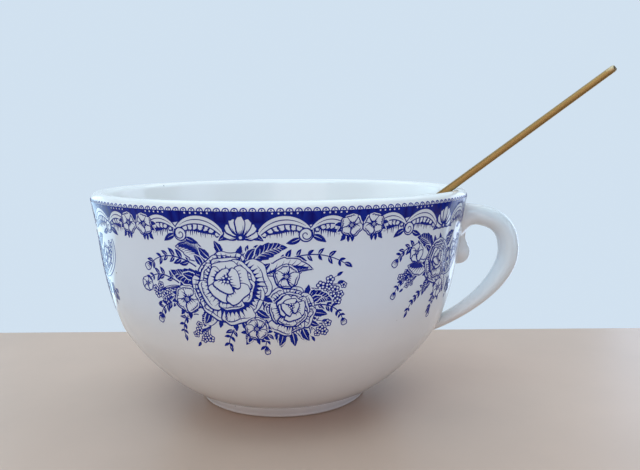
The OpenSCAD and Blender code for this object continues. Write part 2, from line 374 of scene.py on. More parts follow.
def finish_piece(piece, body, slot, material, *nodes):
    """Gives a piece its finish and its body, and hides the solids that it stands for"""
    piece.data.materials.clear()
    piece.data.materials.append(material)
    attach(piece, body)
    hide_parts(*nodes)


# Finishes

# Distances over which the glaze turns to its painted inside light and to its painted cool light
FACING_DEPTH, COOL_REACH = 30 * MM, 11 * MM
# Heights where the painted blue light on the wall starts, is full, begins to fade and stops
TINT_HEIGHTS = [z * MM for z in (30, 46, 70, 72.5)]
# The painted highlight at the end of the spoon's handle starts and is full so far under its top
HIGHLIGHT_FROM, HIGHLIGHT_FULL = 2.2 * MM, 0.7 * MM


class Nodes:
    """Adds nodes to a tree in short steps"""

    def __init__(self, tree):
        self.tree = tree

    def node(self, kind, *sources, **values):
        """Adds a node with its settings and inputs by name, and its first inputs in turn"""
        made = self.tree.nodes.new(kind)
        for key, value in values.items():
            if hasattr(made, key):
                setattr(made, key, value)
            else:
                self.give(made.inputs[key], value)
        for target, source in zip(made.inputs, sources):
            self.give(target, source)
        return made

    def give(self, target, value):
        """Joins a socket to the target, or sets the target to a number, place or colour"""
        if isinstance(value, bpy.types.NodeSocket):
            self.tree.links.new(value, target)
        else:
            target.default_value = (*value, 1.0) if target.type == "RGBA" else value

    def range(self, source, low, high, to_low=0.0, to_high=1.0, smooth_step=False):
        kind = "SMOOTHSTEP" if smooth_step else "LINEAR"
        values = source, low, high, to_low, to_high
        return self.node("ShaderNodeMapRange", *values, interpolation_type=kind).outputs["Result"]

    def math(self, operation, first, second):
        return self.node("ShaderNodeMath", first, second, operation=operation).outputs[0]

    def vectors(self, operation, first, second):
        made = self.node("ShaderNodeVectorMath", first, second, operation=operation)
        return made.outputs["Value" if operation == "DOT_PRODUCT" else "Vector"]

    def part(self, vector, axis):
        return self.node("ShaderNodeSeparateXYZ", vector).outputs[axis]


class Finish(Nodes):
    """A material and its nodes"""

    def __init__(self, name):
        self.material = bpy.data.materials.new(name)
        self.material.use_nodes = True
        super().__init__(self.material.node_tree)
        self.shader = self.tree.nodes["Principled BSDF"]
        self.coords = self.node("ShaderNodeTexCoord").outputs["Object"]

    def set(self, **values):
        """Gives the shader's inputs their sockets or numbers"""
        for key, value in values.items():
            self.give(self.shader.inputs[key.replace("_", " ")], value)

    def noise(self, scale, detail, roughness=0.55, coords=None):
        values = dict(Scale=scale, Detail=detail, Roughness=roughness)
        made = self.node("ShaderNodeTexNoise", coords or self.coords, **values)
        return made.outputs["Fac"]

    def mix(self, factor, first, second):
        """Colour between two colours, each a socket or three numbers"""
        made = self.node("ShaderNodeMix", factor, data_type="RGBA")
        targets = [socket for socket in made.inputs if socket.type == "RGBA"]
        for target, value in zip(targets, (first, second)):
            self.give(target, value)
        return [socket for socket in made.outputs if socket.type == "RGBA"][0]

    def bump(self, height, distance, strength, below=None):
        values = dict(Height=height, Distance=distance, Strength=strength)
        made = self.node("ShaderNodeBump", **values)
        if below:
            self.give(made.inputs["Normal"], below)
        return made.outputs["Normal"]

    def specks(self, cells, size, rarity):
        """Small dots, one in some of the cells of a scattered pattern"""
        made = self.node("ShaderNodeTexVoronoi", self.coords, Scale=cells)
        dot = self.range(made.outputs["Distance"], size * 0.5, size, 1.0, 0.0)
        split = self.node("ShaderNodeSeparateColor", made.outputs["Color"])
        kept = self.range(split.outputs["Red"], rarity, rarity + 0.02)
        return self.math("MULTIPLY", dot, kept)

    def facing(self, spot):
        """1 where the surface looks towards a spot, 0 where it looks away"""
        normal = self.node("ShaderNodeTexCoord").outputs["Normal"]
        away = self.vectors("DOT_PRODUCT", self.vectors("SUBTRACT", self.coords, spot), normal)
        return self.range(away, -FACING_DEPTH, 0.0, 1.0, 0.0, smooth_step=True)

    def glaze_surface(self):
        """Gloss and slight waviness of fired glaze"""
        wave = self.bump(self.noise(70, 2.0), distance=0.0004, strength=0.10)
        peel = self.bump(self.noise(900, 2.0), distance=0.00002, strength=0.25, below=wave)
        gloss = self.range(self.noise(160, 4.0), 0.35, 0.7, 0.07, 0.14)
        self.set(Normal=peel, Roughness=gloss, IOR=1.5)


def white_glaze(look, name="white_glaze", bare_below=None, cool_from=None, heart=None):
    """Clear glaze over white clay, with a few specks

    The clay is bare below a height, and from a distance out along X the glaze has painted cool
    light. Round a heart, the glaze is painted lighter where it faces the heart, and elsewhere has
    painted blue light.
    """
    finish = Finish(name)
    pooled = finish.range(finish.noise(28, 4.0), 0.42, 0.68)
    tone = finish.mix(pooled, look.glaze, look.glaze_shade)
    height = finish.part(finish.coords, "Z")
    if cool_from is not None:
        out = finish.part(finish.coords, "X")
        # Painted light: a cooler tone out along X, over the handle's loop
        cool = finish.range(out, cool_from, cool_from + COOL_REACH, smooth_step=True)
        tone = finish.mix(cool, tone, look.glaze_painted_cool_light)
    if heart is not None:
        # Painted light: a blue tint between set heights of the wall
        rise = finish.range(height, *TINT_HEIGHTS[:2], smooth_step=True)
        fall = finish.range(height, *TINT_HEIGHTS[2:], 1.0, 0.0, smooth_step=True)
        tone = finish.mix(finish.math("MULTIPLY", rise, fall), tone, look.glaze_painted_blue_light)
        # Painted light: the glaze is painted lighter where it faces the heart, inside the bowl
        tone = finish.mix(finish.facing(heart), tone, look.glaze_painted_inside_light)
    tone = finish.mix(finish.specks(cells=95, size=0.034, rarity=0.80), tone, look.speck)
    finish.glaze_surface()
    if bare_below is not None:
        bare = finish.range(height, bare_below * 0.6, bare_below, 1.0, 0.0)
        clay = finish.mix(finish.noise(1800, 4.0), look.biscuit, look.glaze_shade)
        tone = finish.mix(bare, tone, clay)
        finish.set(Roughness=finish.range(bare, 0, 1, 0.1, 0.75))
    finish.set(Base_Color=tone)
    return finish.material


def blue_print(look):
    """Cobalt ink under the glaze, lighter along its edges and thinner in places"""
    finish = Finish("blue_print")
    patches = finish.range(finish.noise(220, 3.0), 0.45, 0.75)
    grains = finish.range(finish.noise(2600, 3.0), 0.35, 0.65)
    dense = finish.mix(finish.math("MULTIPLY", patches, grains), look.ink, look.ink_thin)
    depth = finish.node("ShaderNodeAttribute", attribute_name="ink_depth").outputs["Fac"]
    finish.glaze_surface()
    finish.set(Base_Color=finish.mix(depth, look.ink_line, dense), Specular_IOR_Level=0.15)
    return finish.material


def brushed_gold(look, tilt, turn, end_height):
    """Gold-coloured metal with a fine grain along the spoon, with a painted highlight at the
    handle's end
    """
    finish = Finish("brushed_gold")
    values = dict(vector_type="TEXTURE", Rotation=(0, -tilt, turn), Scale=(30, 1, 1))
    along = finish.node("ShaderNodeMapping", finish.coords, **values).outputs["Vector"]
    grain = finish.noise(2400, 4.0, 0.6, along)
    dulled = finish.range(finish.noise(60, 5.0, 0.65), 0.45, 0.8)
    tone = finish.mix(dulled, look.gold, look.gold_worn)
    height = finish.part(finish.coords, "Z")
    # Painted highlight: the metal turns pale towards the top of the handle's end
    painted_highlight = finish.range(height, end_height - HIGHLIGHT_FROM, end_height - HIGHLIGHT_FULL)
    finish.set(
        Base_Color=finish.mix(painted_highlight, tone, look.gold_painted_highlight),
        Roughness=finish.range(grain, 0.2, 0.8, 0.34, 0.44),
        Normal=finish.bump(grain, distance=0.00002, strength=0.2),
        Metallic=1.0,
    )
    return finish.material


# Drawings for the print

# Radius in millimetres at which the drawings keep their width
PRINT_R = 62.0
BORDER_COPIES = 6
BORDER_UNIT = PRINT_R * math.tau / BORDER_COPIES
# Turns in degrees
SPRAY_STEP, GOLDEN_TURN = 60, 137.5
PETAL_STEPS = 36
LEAF_SKEW = 0.82
# Points of a burst's spike: share of the way to the next spike, and share of its reach
SPIKE = ((-0.42, 0.0), (-0.14, 0.4), (0, 1.0), (0.2, 0.3))
# Rows of a full flower: petals, then their start, length and width as shares of its radius,
# and how much the row is squashed
BLOOM_ROWS = (
    (7, 0.40, 0.62, 0.74, 1.0),
    (6, 0.28, 0.48, 0.62, 0.95),
    (5, 0.15, 0.38, 0.50, 0.9),
    (3, 0.03, 0.30, 0.42, 0.88),
)
# Outline of the leafy cup that holds a bud, as shares of the bud's size
BUD_SIDE = (0.1 - 0.34j, 0.55 - 0.5j, 0.24 - 0.12j)
BUD_CUP = (-0.15, *BUD_SIDE, 0.46, *(spot.conjugate() for spot in reversed(BUD_SIDE)))


class Drawing:
    """Outlines in millimetres as complex numbers, each inked or left bare over the ones before"""

    def __init__(self, seed):
        self.shapes = []
        self.dice = random.Random(seed)

    def roll(self, low, high):
        return self.dice.uniform(low, high)

    def ink(self, points):
        self.shapes.append((points, True))

    def bare(self, points):
        self.shapes.append((points, False))

    def stroke(self, path, start, end):
        self.ink(ribbon(path, taper(start, end)))


def aim(degrees):
    return cmath.rect(1, math.radians(degrees))


def unit(step):
    return step / abs(step) if abs(step) else 1


def way_at(path, i):
    """Direction of a path at one of its points"""
    return unit(path[min(i + 1, len(path) - 1)] - path[max(i - 1, 0)])


def bend(a, b, c, d, steps=14):
    return [cubic((a, b, c, d), i / steps) for i in range(steps + 1)]


def bow(a, b, sag, steps=10):
    side = 1j * (b - a) * sag * 4 / 3
    return bend(a, a + (b - a) * 0.3 + side, a + (b - a) * 0.7 + side, b, steps)


def curl(middle, first, last, start, sweep, steps):
    shares = [i / steps for i in range(steps + 1)]
    return [middle + aim(start + sweep * t) * (first + (last - first) * t) for t in shares]


def ribbon(path, half):
    """Outline of a stroke along a path; half gives its half width at a share of the way"""
    last = len(path) - 1
    sides = [way_at(path, i) * 1j * half(i / last) for i in range(last + 1)]
    left = [point + side for point, side in zip(path, sides)]
    right = [point - side for point, side in zip(path, sides)]
    return left + right[::-1]


def taper(start, end):
    return lambda t: start + (end - start) * t


def swell(width, tip):
    return lambda t: tip + (width - tip) * math.sin(math.pi * min(1, max(0, t))) ** 0.8


def scroll_half(rise):
    """Half width of a scroll, fullest at its middle"""
    return lambda t: 0.35 + rise * math.sin(math.pi * t) ** 0.7


def leaf_half(t):
    """Half width of a leaf at a share of its length, fullest below its middle"""
    return math.sin(math.pi * t**LEAF_SKEW)


def disc(middle, radius, steps):
    return [middle + aim(360 * i / steps) * radius for i in range(steps)]


def grown(points, by, shift=0):
    """An outline moved out by a distance, and shifted as a whole"""
    count = len(points)
    sides = [unit(points[(i + 1) % count] - points[i - 1]) for i in range(count)]
    return [point - 1j * side * by + shift for point, side in zip(points, sides)]


def burst(art, middle, inner, outer, spikes, squash=1.0):
    """Dark disc whose edge runs out in pointed engraved strokes"""
    points = []
    for i in range(spikes):
        reach = inner + (outer - inner) * art.roll(0.25, 1.0)
        for share, rise in SPIKE:
            radius = inner * (1 - rise) + reach * rise
            spot = aim(360 * (i + share) / spikes) * radius
            points.append(middle + complex(spot.real, spot.imag * squash))
    art.ink(points)


def petal_outline(base, out, length, width, notch, wave, phase, steps=PETAL_STEPS):
    middle = base + out * length * 0.52
    points = []
    for i in range(steps):
        turn = math.tau * i / steps
        back = turn if turn <= math.pi else turn - math.tau
        tip = math.cos(turn) - notch * math.exp(-((back / 0.34) ** 2))
        ripple = 1 + wave * math.sin(5 * turn + phase) + wave * 0.6 * math.sin(8 * turn + 2 * phase)
        broad = math.sin(turn) * width * 0.5 * (1 + 0.2 * math.cos(turn))
        points.append(middle + out * complex(tip * length * 0.5, broad) * ripple)
    return points


def petal(art, base, out, length, width, line, strokes, notch, lip=False):
    """Pale petal with a thick and thin outline, shaded from its base, with a turned lip"""
    phase = art.roll(0, 6)
    shape = petal_outline(base, out, length, width, notch, 0.04, phase)
    art.ink(grown(shape, line))
    art.bare(grown(shape, -line, (0.5 + 0.6j) * line))
    lean = art.dice.choice((-1, 1))
    for k in range(strokes):
        across = (k + 0.5) / strokes * 2 - 1
        low = base + out * complex(length * 0.04, across * width * 0.26)
        reach = (0.26 + 0.36 * max(0, across * lean)) * art.roll(0.7, 1.25)
        high = base + out * complex(length * reach, across * width * 0.40)
        art.stroke(bow(low, high, 0.05 * across, 4), 0.24, 0.015)
    if lip and length > 2.6:
        inner = petal_outline(base, out, length * 0.84, width * 0.86, notch * 1.6, 0.06, phase + 1)
        start = art.dice.choice((-8, -5))
        edge = [inner[i % PETAL_STEPS] for i in range(start, start + 13)]
        art.ink(ribbon(edge, swell(0.15, 0.02)))
        for i in range(2, 12, 2):
            inward = unit(base + out * length * 0.3 - edge[i]) * length
            art.stroke([edge[i], edge[i] + inward * art.roll(0.08, 0.2)], 0.12, 0.01)


def bloom(art, middle, radius, tilt):
    """Full flower: rows of petals, each row over the shadow that the row inside it throws"""
    lift = aim(tilt + 90) * radius * 0.07
    for row, (count, start, size, width, squash) in enumerate(BLOOM_ROWS):
        heart = middle + lift * row
        if row:
            edge = radius * (start + size)
            burst(art, heart, edge * 0.94, edge * 1.36, 54 - 10 * row, squash)
        first = tilt + art.roll(0, 360 / count)
        turns = [first + 360 * k / count for k in range(count)]
        turns.sort(key=lambda turn: -math.sin(math.radians(turn - tilt)))
        for turn in turns:
            grow = art.roll(0.82, 1.16)
            out = aim(turn + art.roll(-9, 9))
            side = complex(out.real, out.imag * squash)
            base = heart + side * radius * start * 0.9
            tall, wide = radius * size * grow, radius * width * 1.2 * grow
            strokes = 11 - 2 * row
            petal(art, base, unit(side), tall, wide, 0.17, strokes, 0.13, row < 2)
    heart = middle + lift * 3.4
    burst(art, heart, radius * 0.1, radius * 0.2, 13)
    for k in range(5):
        art.bare(disc(heart + aim(72 * k + tilt) * radius * 0.075, radius * 0.03, 8))


def blossom(art, middle, radius, petals, tilt, line=0.16):
    """Small open flower"""
    wide = 1.28 if petals == 5 else 1.0
    large = radius > 3
    for k in range(petals):
        out = aim(tilt + 360 * k / petals)
        base = middle + out * radius * 0.1
        strokes = 5 if large else 3
        petal(art, base, out, radius * 0.94, radius * wide, line, strokes, 0.14, large)
    heart = radius * 0.3
    burst(art, middle, heart * 0.7, heart * 1.7, 13)
    art.bare(disc(middle, heart * 0.5, 10))
    for k in range(5):
        art.ink(disc(middle + aim(72 * k) * heart * 0.27, heart * 0.13, 6))


def floret(art, middle, radius):
    """Tiny five-petalled flower"""
    turn = art.roll(0, 72)
    places = [middle + aim(turn + 72 * k) * radius * 0.58 for k in range(5)]
    for place in places:
        art.ink(disc(place, radius * 0.52, 9))
    for place in places:
        art.bare(disc(place, radius * 0.27, 8))
    art.ink(disc(middle, radius * 0.24, 7))


def cluster(art, root, tip, spread, count, size):
    """Florets and small leaves on fine stems that branch from one root"""
    fork = root + (tip - root) * 0.45
    art.stroke(bow(root, fork, 0.08), 0.16, 0.12)
    steps = [aim(GOLDEN_TURN * k) * spread * math.sqrt((k + 0.5) / count) for k in range(count)]
    for step in steps:
        place = tip + step * art.roll(0.85, 1.1)
        art.stroke(bow(fork, place, art.roll(-0.14, 0.14), 6), 0.11, 0.08)
    for k, step in enumerate(steps):
        place = tip + step
        if k % 4 == 3:
            small_leaf(art, place, place + unit(place - fork) * size * 1.8, size * 0.8)
        else:
            floret(art, place, size * art.roll(0.8, 1.15))


def leaf_outline(base, tip, width, sag, teeth, steps=28):
    rib = bow(base, tip, sag, steps)
    left, right = [], []
    for i, point in enumerate(rib):
        t = i / steps
        side = way_at(rib, i) * 1j
        saw = 1 + (0.2 * (((t * teeth) % 1) - 0.5) if teeth else 0)
        half = width * 0.5 * leaf_half(t) ** 0.9 * saw if 0 < t < 1 else 0.02
        left.append(point + side * half)
        right.append(point - side * half)
    return rib, right + left[::-1]


def small_leaf(art, base, tip, width, sag=0.06):
    rib, shape = leaf_outline(base, tip, width, sag, 0, 8)
    art.ink(shape)
    if width > 0.95:
        art.bare(ribbon(rib[1:6], taper(0.11, 0.03)))


def dark_leaf(art, base, tip, width, sag, teeth=5):
    """Inked leaf with pale veins"""
    rib, shape = leaf_outline(base, tip, width, sag, teeth)
    art.bare(grown(shape, 0.3))
    art.ink(shape)
    last = len(rib) - 1
    if width > 1.6:
        art.bare(ribbon(rib[1 : last - 2], taper(0.14, 0.03)))
    if width > 2.4:
        for k in range(3, last - 5, 3):
            half = width * 0.4 * leaf_half(k / last)
            for side in (1, -1):
                end = rib[k] + way_at(rib, k) * complex(half * 1.1, side * half)
                art.bare(ribbon(bow(rib[k], end, -0.08 * side, 3), taper(0.11, 0.04)))


def pale_leaf(art, base, tip, width, sag, teeth=4):
    """Outlined leaf, hatched dark along one half"""
    rib, shape = leaf_outline(base, tip, width, sag, teeth)
    art.bare(grown(shape, 0.3))
    art.ink(grown(shape, 0.08))
    art.bare(grown(shape, -0.24))
    last = len(rib) - 1
    art.stroke(rib[: last - 1], 0.24, 0.06)
    for k in range(2, last - 3):
        way = way_at(rib, k)
        half = width * 0.5 * leaf_half(k / last)
        end = rib[k] + way * complex(half * 0.75, -half * 0.9)
        art.stroke(bow(rib[k], end, 0.08, 3), 0.22, 0.06)
        if k % 3 == 0:
            end = rib[k] + way * complex(half * 0.8, half * 0.66)
            art.stroke(bow(rib[k], end, -0.08, 3), 0.14, 0.02)


def ruff(art, middle, radius, start, stop, count, length):
    """Small dark leaves that show from behind a flower"""
    for k in range(count):
        out = aim(start + (stop - start) * (k + 0.5) / count + art.roll(-5, 5))
        size = length * art.roll(0.75, 1.2)
        base = middle + out * radius * 0.86
        tip = base + out * aim(art.roll(-22, 22)) * size
        dark_leaf(art, base, tip, size * 0.5, art.roll(-0.12, 0.12), 3)


def sprig(art, path, size, pairs, end):
    """Stem with small leaves in pairs, and a bud, blossom or leaf at its end"""
    art.stroke(path, 0.2, 0.12)
    last = len(path) - 1
    for k in range(pairs):
        i = max(1, min(last - 1, round((k + 0.8) / (pairs + 0.4) * last)))
        way = way_at(path, i)
        for side in (1, -1):
            grow = size * (1 - 0.35 * k / pairs) * art.roll(0.8, 1.2)
            tip = path[i] + way * aim(side * art.roll(34, 60)) * grow
            small_leaf(art, path[i], tip, grow * 0.46, 0.08 * side)
    tip, way = path[-1], way_at(path, last)
    if end == "bud":
        bud(art, tip, way, size * 0.8)
    elif end == "blossom":
        blossom(art, tip + way * size * 0.4, size * 0.85, 5, art.roll(0, 72), 0.14)
    else:
        small_leaf(art, tip, tip + way * size, size * 0.46)


def bud(art, base, out, size):
    shape = petal_outline(base, out, size * 1.2, size * 0.95, 0.12, 0.03, 0, 20)
    art.ink(grown(shape, 0.12))
    art.bare(grown(shape, -0.16))
    for across in (-0.5, 0, 0.5):
        middle = base + out * complex(size * 0.4, across * size * 0.3)
        tip = base + out * complex(size * 0.8, across * size * 0.55)
        art.stroke([base, middle, tip], 0.18, 0.03)
    art.ink([base + out * spot * size for spot in BUD_CUP])


def tendril(art, path, middle, radius, start, sweep):
    art.stroke(path, 0.16, 0.13)
    art.stroke(curl(middle, radius, radius * 0.25, start, sweep, 20), 0.14, 0.08)


def beads(art, path, first, last, count):
    for k in range(count):
        t = (k + 0.5) / count
        spot = path[round(t * (len(path) - 1))]
        radius = first + (last - first) * t
        art.ink(disc(spot, radius + 0.13, 12))
        art.bare(disc(spot, radius - 0.15, 12))
        art.ink(disc(spot, radius * 0.3, 8))


def scroll(art, path, half, lobes, side, size, line=0.2):
    """Pale leafy scroll: lobes along one edge, an outline and an engraved line down its middle"""
    last = len(path) - 1
    for k in range(lobes):
        i = round((k + 0.6) / (lobes + 0.2) * last)
        way = way_at(path, i)
        grow = size * (0.62 + 0.5 * math.sin(math.pi * (k + 0.6) / lobes))
        base = path[i] + way * 1j * side * half(i / last) * 0.8
        petal(art, base, way * aim(side * 52), grow * 1.4, grow * 1.2, 0.15, 3, 0)
    art.ink(ribbon(path, lambda t: half(t) + line))
    art.bare(ribbon(path, lambda t: max(0.04, half(t) - line * 0.6)))
    art.ink(ribbon(path[2:-2], swell(0.13, 0.02)))


def volute(art, middle, radius, start, sweep):
    """Round end of a scroll, with a spiral line"""
    art.ink(disc(middle, radius + 0.2, 18))
    art.bare(disc(middle, radius - 0.16, 18))
    art.stroke(curl(middle, radius - 0.05, radius * 0.12, start, sweep, 26), 0.17, 0.12)


def mirrored(art, draw):
    """What draw adds, and the same again on the other side of x = 0"""
    first = len(art.shapes)
    draw()
    for points, inked in art.shapes[first:]:
        art.shapes.append(([-point.conjugate() for point in points][::-1], inked))


def tall_spray():
    art = Drawing(3)
    cluster(art, 17 + 50j, 24.5 + 49.4j, 4.2, 13, 1.15)
    cluster(art, 14 + 40j, 20.5 + 38.5j, 3.6, 10, 1.1)
    cluster(art, -12 + 52j, -25 + 47.4j, 3.4, 11, 1.1)
    cluster(art, -8 + 41j, -13.5 + 36.2j, 3.2, 8, 1.15)
    sprig(art, bend(-13 + 56j, -18 + 59.4j, -24 + 59.6j, -28.4 + 56j), 2.9, 6, "bud")
    sprig(art, bend(-17 + 46j, -22 + 46j, -26.4 + 44j, -27.6 + 40.4j), 2.5, 6, "bud")
    sprig(art, bend(-19 + 51j, -24 + 54j, -28 + 53.6j, -30.4 + 50.4j), 2.4, 5, "blossom")
    sprig(art, bend(-14 + 43j, -18 + 42j, -20.4 + 38.6j, -20 + 35.4j), 2.3, 4, "leaf")
    sprig(art, bend(8 + 56j, 14 + 60.2j, 21 + 61j, 27.6 + 56.8j), 2.8, 7, "leaf")
    sprig(art, bend(19 + 45j, 23 + 46j, 26.6 + 44j, 28 + 40.6j), 2.3, 5, "bud")
    sprig(art, bend(6 + 38j, 7 + 36j, 5 + 33.6j, 5.6 + 32.4j), 2.2, 3, "bud")
    sprig(art, bend(-3 + 39j, -4 + 37j, -6 + 34.6j, -5.4 + 33j), 2.2, 3, "leaf")
    sprig(art, bend(-1 + 58j, 0 + 60.4j, 3.6 + 61.6j, 6.6 + 61j), 2.0, 4, "leaf")
    tendril(art, bow(9 + 57j, 14 + 56.6j, 0.15), 14.8 + 55.2j, 1.5, 120, -430)
    tendril(art, bow(-14 + 42j, -17.2 + 40.2j, -0.2), -17.6 + 41.8j, 1.4, -80, -420)
    pale_leaf(art, -10 + 57j, -19 + 61.4j, 5.2, -0.14)
    dark_leaf(art, -11 + 54j, -21.5 + 54.6j, 4.6, 0.12)
    pale_leaf(art, -12 + 47j, -21.5 + 45.4j, 5.0, 0.14)
    dark_leaf(art, -9 + 43j, -12.6 + 38.4j, 3.4, -0.12)
    dark_leaf(art, 3 + 58j, 12.2 + 61.6j, 4.2, 0.12)
    pale_leaf(art, 6 + 54j, 19 + 55.4j, 5.0, 0.14)
    dark_leaf(art, 16 + 47j, 24.5 + 46.2j, 3.8, 0.12)
    pale_leaf(art, 14 + 40j, 17.6 + 34.4j, 4.2, 0.14)
    dark_leaf(art, 9 + 39j, 10 + 32.6j, 3.6, 0.1)
    dark_leaf(art, 1 + 41j, -0.4 + 33.4j, 3.6, 0.14)
    ruff(art, 12.5 + 43.6j, 7.4, -150, 60, 8, 4.0)
    bloom(art, 12.5 + 43.6j, 7.2, -20)
    ruff(art, -4 + 50.2j, 11.2, 20, 350, 15, 3.6)
    bloom(art, -4 + 50.2j, 11.2, 12)
    ruff(art, -17 + 46.4j, 3.6, 90, 300, 5, 2.6)
    blossom(art, -17 + 46.4j, 3.9, 5, 20)
    ruff(art, 3.2 + 38.4j, 3.2, 180, 360, 5, 2.4)
    blossom(art, 3.2 + 38.4j, 3.4, 6, 10)
    blossom(art, 11.8 + 53.6j, 3.3, 5, 50)
    return art


def short_spray():
    art = Drawing(11)
    curve = bend(17.4 + 61.2j, 19 + 56j, 13.6 + 49.8j, 6 + 48.6j, 26)
    scroll(art, curve, scroll_half(0.9), 8, -1, 1.7)
    volute(art, 5.6 + 50.2j, 1.7, -80, -430)
    beads(art, bend(14.6 + 60.6j, 16 + 57j, 13.2 + 53j, 8.6 + 51.6j, 24), 0.8, 0.5, 7)
    cluster(art, -8 + 51j, -15.6 + 49.6j, 3.2, 10, 0.95)
    cluster(art, 8 + 47j, 11.6 + 43.4j, 2.9, 9, 0.9)
    sprig(art, bend(-10 + 58j, -14 + 60.4j, -18 + 59.6j, -20.2 + 56.2j), 2.7, 5, "bud")
    sprig(art, bend(1 + 46j, 2 + 42j, -2 + 39.6j, -1 + 37.6j), 2.4, 5, "bud")
    sprig(art, bend(-4 + 47j, -8 + 46j, -12 + 43.6j, -13.4 + 39.6j), 2.3, 6, "leaf")
    sprig(art, bend(-9 + 52j, -14 + 53j, -18.4 + 50.4j, -20 + 46.4j), 2.3, 5, "bud")
    dark_leaf(art, -5 + 57.6j, -13 + 62j, 4.2, -0.12)
    pale_leaf(art, -6 + 54j, -16 + 54j, 4.8, 0.12)
    dark_leaf(art, 3 + 57j, 9.4 + 61.8j, 3.8, 0.1)
    pale_leaf(art, 1 + 48j, 6.6 + 42.4j, 4.2, 0.14)
    dark_leaf(art, -3 + 49j, -7.4 + 43.6j, 3.6, -0.14)
    ruff(art, -1 + 53.4j, 7.0, -20, 340, 12, 3.0)
    bloom(art, -1 + 53.4j, 7.0, 8)
    ruff(art, 10.8 + 55.4j, 3.0, -60, 120, 4, 2.2)
    blossom(art, 10.8 + 55.4j, 3.3, 5, 10)
    ruff(art, 2 + 44.4j, 2.8, 180, 360, 4, 2.2)
    blossom(art, 2 + 44.4j, 3.0, 6, 0)
    blossom(art, -12.6 + 57.4j, 2.7, 5, 40)
    return art


def border_unit():
    """A sixth of the border, to the left and right of x = 0"""
    art = Drawing(5)
    half = BORDER_UNIT / 2
    top, low, waves = 71.5, 68.0, 60
    edge = []
    for i in range(waves + 1):
        dip = 0.4 * math.sin(math.tau * i / waves * 5)
        edge.append(complex(BORDER_UNIT * (i / waves - 0.5), low + dip))
    art.ink(edge + [complex(half, top), complex(-half, top)])
    arches = 28
    for k in range(arches):
        middle = complex(BORDER_UNIT * ((k + 0.5) / arches - 0.5), top - 0.05)
        art.ink(ribbon(curl(middle, 0.86, 0.86, 0, 180, 12), lambda t: 0.15))
        art.ink(disc(middle + 0.36j, 0.22, 8))

    def side():
        art.ink([3 + 69j, 16 + 69j, 14.6 + 66.4j, 10 + 65.4j, 5.4 + 64.8j])
        art.ink([18.4 + 69j, 31 + 69j, 29 + 65j, 24.4 + 65.4j, 20 + 66.6j])
        for k in range(44):
            x = 4.4 + 26.5 * (k + 0.5) / 44
            drop = art.roll(0.2, 1.7)
            art.stroke([complex(x, 66.4), complex(x, 65.8 - drop)], 0.24, 0.02)
        near = bend(4.0 + 64.2j, 7.2 + 69.8j, 13.4 + 70.8j, 18.0 + 66.6j, 26)
        scroll(art, near, scroll_half(0.85), 8, -1, 1.5)
        far = bend(29.6 + 64.2j, 27.6 + 69.4j, 22.6 + 70.8j, 18.6 + 66.8j, 26)
        scroll(art, far, scroll_half(0.8), 7, 1, 1.4)
        small_leaf(art, 18.6 + 64.8j, 22.4 + 62.8j, 1.8)
        small_leaf(art, 15.6 + 64.2j, 11.8 + 62.8j, 1.7)
        volute(art, 17.0 + 65.0j, 1.8, 70, -430)
        for k in range(5):
            art.bare(disc(complex(8.4 + 1.6 * k, 70.95), 0.26, 8))
            art.bare(disc(complex(21.6 + 1.5 * k, 70.95), 0.26, 8))
        ruff(art, 29.2 + 67j, 2.7, 150, 300, 5, 2.3)
        blossom(art, 29.2 + 67.2j, 3.1, 5, 30, 0.15)

    mirrored(art, side)
    for k in (-1, 1):
        dark_leaf(art, k * 1.5 + 65j, k * 6.0 + 63.4j, 2.0, 0.1 * k, 0)
    art.ink([-5.2 + 70.6j, 5.2 + 70.6j, 4.8 + 66j, 2 + 64.6j, -2 + 64.6j, -4.8 + 66j])
    for k in (-3, 3, -2, 2, -1, 1, 0):
        petal(art, 0 + 64.6j, aim(90 + 27 * k), 5.6 - 0.3 * abs(k), 2.6, 0.16, 5, 0.08)
    art.ink([-1.8 + 64.9j, 1.8 + 64.9j, 0.8 + 63.6j, -0.8 + 63.6j])
    art.bare(disc(0 + 64.4j, 0.45, 9))
    return art


# The print on the cup


def triangulated(points, lines):
    """Triangles between points that keep to the given lines"""
    corners = [Vector((p.real, p.imag)) for p in points]
    found = delaunay_2d_cdt(corners, lines, [], 0, 1e-4, False)
    return np.array([complex(*spot) for spot in found[0]]), np.array(found[2])


def inked(art, spots):
    """Which spots the last outline round them leaves inked"""
    result = np.zeros(len(spots), bool)
    order = np.argsort(spots.real)
    for shape, ink in art.shapes:
        start = np.array(shape)
        end = np.roll(start, -1)
        first, last = np.searchsorted(spots.real[order], (start.real.min(), start.real.max()))
        near = order[first:last]
        level = spots.imag[near]
        near = near[(level >= start.imag.min()) & (level <= start.imag.max())]
        x, y = spots.real[near][:, None], spots.imag[near][:, None]
        rise = np.where(end.imag == start.imag, 1, end.imag - start.imag)
        left = x < start.real + (end.real - start.real) * (y - start.imag) / rise
        crossed = ((start.imag > y) != (end.imag > y)) & left
        result[near[np.count_nonzero(crossed, axis=1) % 2 == 1]] = ink
    return result


